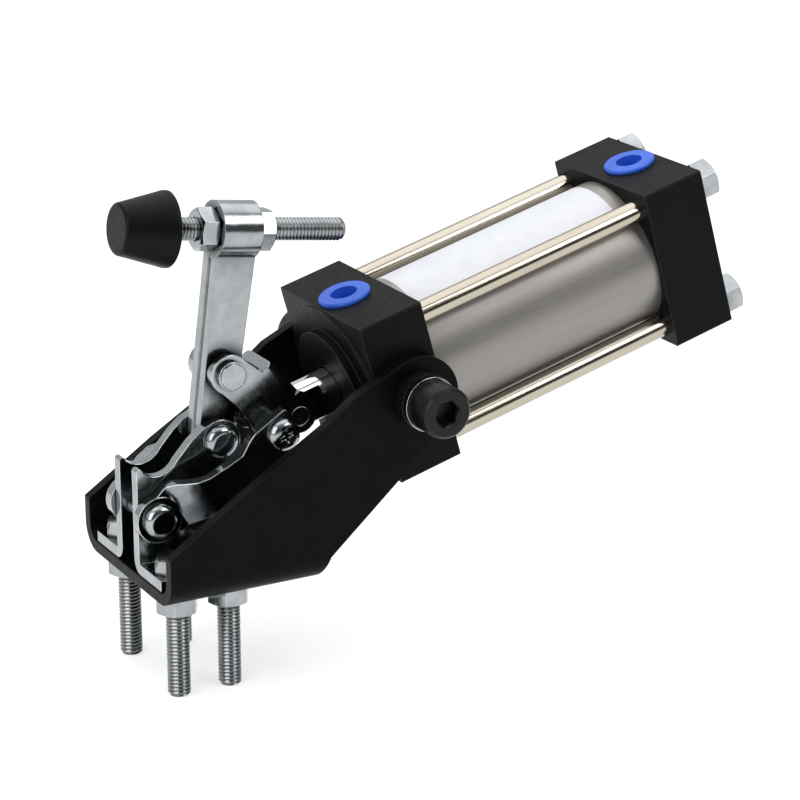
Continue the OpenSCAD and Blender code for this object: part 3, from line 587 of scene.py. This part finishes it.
# %% A mirrored pair of screws
def headed_pair(node, make_head, seat, overlap, turn):
    """Both screws of a pair: the solid's shanks, with new heads outside y = seat."""
    low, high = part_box(node)
    middle = (low + high) / 2
    bm = bmesh.new()
    for side in (-1, 1):
        shank = copied_solid(node)
        cut_away(shank, (0, side * (seat + overlap), 0), (0, side, 0))
        cut_away(shank, (0, 0, 0), (0, -side, 0))
        merge_in(bm, shank)
        place = Matrix.Translation((middle.x, side * seat, middle.z))
        outwards = Matrix.Rotation(math.radians(-90 * side), 4, "X")
        head = make_head((high.x - low.x) / 2, high.y - seat)
        merge_in(bm, head, place @ outwards @ Matrix.Rotation(turn, 4, "Z"))
    return bm


# %% [markdown]
# ## The trunnion screws
# A socket head cap screw has a knurled rim, rolled with fine ribs along its height, and a hex
# socket. The head starts as one round face. Each step extrudes that face and gives its rim a
# new outline: ribbed, then plain for the chamfer, then a hexagon that is pushed down. The
# socket could be cut with a Boolean, but this way the head stays one clean skin.

# %% Knurled socket head
RIBS, RIB_DEPTH = 48, 0.22 * MM
SOCKET_FLATS, SOCKET_DEPTH = 6 * MM, 4 * MM
RIM_FOOT, RIM_CHAMFER = 0.2 * MM, 0.8 * MM
RIM_STEP, RIM_INSET = 0.1 * MM, 0.2 * MM  # where the ribs end and the chamfer starts
SOCKET_LEAD = 0.3 * MM
HALF_SIDE = math.radians(30)  # half the angle that one side of a hexagon takes up


def socket_head(radius, height):
    """A knurled socket head standing on z = 0, facing +Z."""
    bm = bmesh.new()
    bmesh.ops.create_circle(bm, segments=RIBS * 2, radius=radius, cap_ends=True)
    top = list(bm.faces)
    bottom = top[0]

    def ribbed(angle):
        return radius - RIB_DEPTH * (round(angle / math.tau * RIBS * 2) % 2)

    def hexagon(angle):
        return SOCKET_FLATS / 2 / math.cos(angle % (2 * HALF_SIDE) - HALF_SIDE)

    def round_to(size):
        return lambda angle: size

    def step(rise, outline):
        """Extrudes the top face, without leaving the old one inside, and reshapes it."""
        nonlocal top
        made = bmesh.ops.extrude_face_region(bm, geom=top)["geom"]
        left = [f for f in top if f.is_valid and f is not bottom]
        bmesh.ops.delete(bm, geom=left, context="FACES_ONLY")
        for vert in (g for g in made if isinstance(g, bmesh.types.BMVert)):
            angle = math.atan2(vert.co.y, vert.co.x)
            size = outline(angle)
            vert.co = (size * math.cos(angle), size * math.sin(angle), vert.co.z + rise)
        top = [g for g in made if isinstance(g, bmesh.types.BMFace)]

    step(RIM_FOOT, ribbed)
    step(height - RIM_CHAMFER - RIM_FOOT, ribbed)
    step(RIM_STEP, round_to(radius - RIM_INSET))
    step(RIM_CHAMFER - RIM_STEP, round_to(radius - RIM_CHAMFER))
    step(0.0, round_to(SOCKET_FLATS / 2 / math.cos(HALF_SIDE) + SOCKET_LEAD))
    step(-SOCKET_LEAD, hexagon)
    step(SOCKET_LEAD - SOCKET_DEPTH, hexagon)
    return bm


# %% Trunnion screws
bm = headed_pair("trunnion_screws", socket_head, seat=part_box("spring_washers")[1].y,
                 overlap=-0.01 * MM, turn=math.radians(12))
finished(bm, "trunnion_screws_knurled", "root", BLACK_OXIDE,
         ["trunnion_screws"], crease=25.0)

# %% [markdown]
# ## The knee screws
# A pan head is a low dome. Its outline is spun round the axis. The cross recess follows none
# of the dome's edges, so two tapered bars are cut out of it with a Boolean modifier, which is
# applied so that the piece ends as plain mesh.

# %% Cross-recessed pan head
DOME = [(0.0, 0.0), (1.0, 0.0), (1.0, 0.3), (0.93, 0.62), (0.72, 0.88), (0.4, 0.98),
        (0.0, 1.0)]  # the outline, in shares of the head's radius and height
DOME_STEPS = 48
CROSS_LENGTH, CROSS_WIDTH = 1.15, 0.26  # of the radius
CROSS_HEIGHT, CROSS_MIDDLE = 1.2, 0.95  # of the head's height
CROSS_TAPER_LENGTH, CROSS_TAPER_WIDTH = 0.45, 0.6  # what is left of them at the bottom


def cut_out(bm, cutter_bm):
    """Cuts one bmesh out of another with a Boolean modifier, applied at once."""
    objects = []
    for source, name in ((bm, "carved_body"), (cutter_bm, "carved_cutter")):
        mesh = bpy.data.meshes.new(name)
        source.to_mesh(mesh)
        source.free()
        objects.append(bpy.data.objects.new(name, mesh))
        bpy.context.collection.objects.link(objects[-1])
    body, cutter = objects
    boolean = body.modifiers.new("cut", "BOOLEAN")
    boolean.operation, boolean.solver, boolean.object = "DIFFERENCE", "EXACT", cutter
    boolean.use_self = True
    graph = bpy.context.evaluated_depsgraph_get()
    result = bmesh.new()
    result.from_mesh(body.evaluated_get(graph).to_mesh())
    for thing in objects:
        data = thing.data
        bpy.data.objects.remove(thing)
        bpy.data.meshes.remove(data)
    return result


def pan_head(radius, height):
    """A domed head standing on z = 0, facing +Z, with a cross recess."""
    bm = bmesh.new()
    line = chain(bm, [(x * radius, z * height) for x, z in DOME])
    bmesh.ops.spin(bm, geom=line, cent=(0, 0, 0), axis=(0, 0, 1), angle=math.tau,
                   steps=DOME_STEPS, use_merge=True, use_duplicate=False)
    bmesh.ops.remove_doubles(bm, verts=bm.verts, dist=WELD)
    bmesh.ops.recalc_face_normals(bm, faces=bm.faces)
    cross = bmesh.new()
    for turn in (0, 90):
        bar = bmesh.ops.create_cube(cross, size=1.0)["verts"]
        bmesh.ops.scale(cross, verts=bar, vec=(CROSS_LENGTH * radius, CROSS_WIDTH * radius,
                                               CROSS_HEIGHT * height))
        lower = [vert for vert in bar if vert.co.z < 0]
        bmesh.ops.scale(cross, verts=lower, vec=(CROSS_TAPER_LENGTH, CROSS_TAPER_WIDTH, 1))
        bmesh.ops.translate(cross, verts=bar, vec=(0, 0, CROSS_MIDDLE * height))
        bmesh.ops.rotate(cross, verts=bar, cent=(0, 0, 0),
                         matrix=Matrix.Rotation(math.radians(turn), 3, "Z"))
    return cut_out(bm, cross)


# %% Knee screws
bm = headed_pair("knee_screws", pan_head, seat=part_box("link_far")[1].y, overlap=0.03 * MM,
                 turn=math.radians(20))
finished(bm, "knee_screws_recessed", "links", ZINC_HARDWARE,
         ["knee_screws"])

# %% [markdown]
# ## The bare label
# A white film label lies on the top of the tube, between the upper tie rods. A line spun
# part of the way round the axis follows the tube exactly, and solidify gives it a film's
# thickness. Colouring the tube would be less work, but the film has an edge that shows.

# %% Label
LABEL_FROM_FRONT, LABEL_FROM_REAR = 3 * MM, 4 * MM
LABEL_START, LABEL_ARC = math.radians(-28), math.radians(70)
LABEL_STEPS = 32
FILM, FILM_CLEARANCE = 0.06 * MM, 0.01 * MM

low, high = corners_in("tube", CYLINDER)
height = (high.z - low.z) / 2 + FILM_CLEARANCE
bm = bmesh.new()
line = chain(bm, [(low.x + LABEL_FROM_FRONT, height), (high.x - LABEL_FROM_REAR, height)])
bmesh.ops.rotate(bm, verts=bm.verts, cent=(0, 0, 0),
                 matrix=Matrix.Rotation(LABEL_START, 3, "X"))
bmesh.ops.spin(bm, geom=line, cent=(0, 0, 0), axis=(1, 0, 0), angle=LABEL_ARC,
               steps=LABEL_STEPS, use_merge=False, use_duplicate=False)
bmesh.ops.recalc_face_normals(bm, faces=bm.faces)
bmesh.ops.solidify(bm, geom=bm.faces[:], thickness=FILM)
bmesh.ops.transform(bm, matrix=CYLINDER, verts=bm.verts)
finished(bm, "bare_label", "cylinder", LABEL)

# %% [markdown]
# ## The floor
# The object stands on a pale floor on its four studs. Paper takes the shadow, and a glow that
# only the camera, mirrors and glass can see lifts the rest to white in the picture. That glow
# therefore puts no extra light on the object.

# %% Floor
PAPER_GREY, PAPER_GLOW = "#C8C8C8", 0.62
FLOOR_SIZE, FLOOR_BACK = 4.0, 1.0

floor_mesh = bpy.data.meshes.new("floor")
bm = bmesh.new()
bmesh.ops.create_grid(bm, x_segments=1, y_segments=1, size=FLOOR_SIZE,
                      matrix=Matrix.Translation((0, FLOOR_BACK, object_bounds()[0].z)))
bm.to_mesh(floor_mesh)
bm.free()
floor = bpy.data.objects.new("floor", floor_mesh)
bpy.context.collection.objects.link(floor)

PAPER = bpy.data.materials.new("paper_floor")
PAPER.use_nodes = True
tree = PAPER.node_tree
tree.nodes.clear()
rays = add(tree, "LightPath").outputs
seen = rays["Is Camera Ray"]
for other in ("Is Glossy Ray", "Is Transmission Ray"):
    seen = add(tree, "Math", None, {0: seen, 1: rays[other]}, operation="ADD",
               use_clamp=True).outputs["Value"]
strength = add(tree, "Math", {1: PAPER_GLOW}, {0: seen}, operation="MULTIPLY")
paper = add(tree, "BsdfDiffuse", {"Color": linear(PAPER_GREY)})
glow = add(tree, "Emission", {"Color": linear("#FFFFFF")},
           {"Strength": strength.outputs["Value"]})
both = add(tree, "AddShader", None, {0: paper.outputs["BSDF"], 1: glow.outputs["Emission"]})
add(tree, "OutputMaterial", None, {"Surface": both.outputs["Shader"]})
floor_mesh.materials.append(PAPER)
print(PAPER.name)

# %% [markdown]
# ## Light
# Large area lamps stand in for the photographer's soft boxes: one overhead, one from the
# left, and a small one above the camera's right. The world is bright above and behind the
# object, like a paper sweep, and dark on the camera's side, so that polished metal has
# something dark to reflect.

# %% Lamps
LAMP_TARGET = Vector((0.05, 0.0, 0.05))
LAMPS = {  # place in metres, size in metres, power in watts
    "overhead": ((0.1, 0.2, 1.0), 1.3, 5.5),
    "left": ((-0.8, -0.4, 0.5), 0.8, 5.0),
    "right": ((0.5, -0.65, 0.75), 0.5, 3.0),
}
for name, (place, size, power) in LAMPS.items():
    light = bpy.data.lights.new(name, "AREA")
    light.shape, light.size, light.energy = "SQUARE", size, power
    lamp = bpy.data.objects.new(name, light)
    bpy.context.collection.objects.link(lamp)
    lamp.location = place
    lamp.rotation_euler = (LAMP_TARGET - Vector(place)).to_track_quat("-Z", "Y").to_euler()
print("lamps", list(LAMPS))

# %% World
SWEEP_WHITE = "#F2F3F4"
SWEEP_DARK, SWEEP_BRIGHT = 0.1, 0.9  # strength on the camera's side, and above and behind
SWEEP_UP, SWEEP_BACK = 0.75, 0.6  # how much a direction brightens as it turns up and back

world = bpy.data.worlds.new("studio")
bpy.context.scene.world = world
world.use_nodes = True
tree = world.node_tree
tree.nodes.clear()
direction = add(tree, "SeparateXYZ", None,
                {"Vector": add(tree, "TexCoord").outputs["Generated"]})
upward = add(tree, "Math", {1: SWEEP_UP}, {0: direction.outputs["Z"]}, operation="MULTIPLY")
sweep = add(tree, "Math", {1: SWEEP_BACK}, {0: direction.outputs["Y"],
                                            2: upward.outputs["Value"]},
            operation="MULTIPLY_ADD")
strength = vary(tree, sweep.outputs["Value"], SWEEP_DARK, SWEEP_BRIGHT, 0.0, SWEEP_UP)
back = add(tree, "Background", {"Color": linear(SWEEP_WHITE)}, {"Strength": strength})
add(tree, "OutputWorld", None, {"Surface": back.outputs["Background"]})
bpy.context.scene.view_settings.view_transform = "Standard"
print("world", world.name)
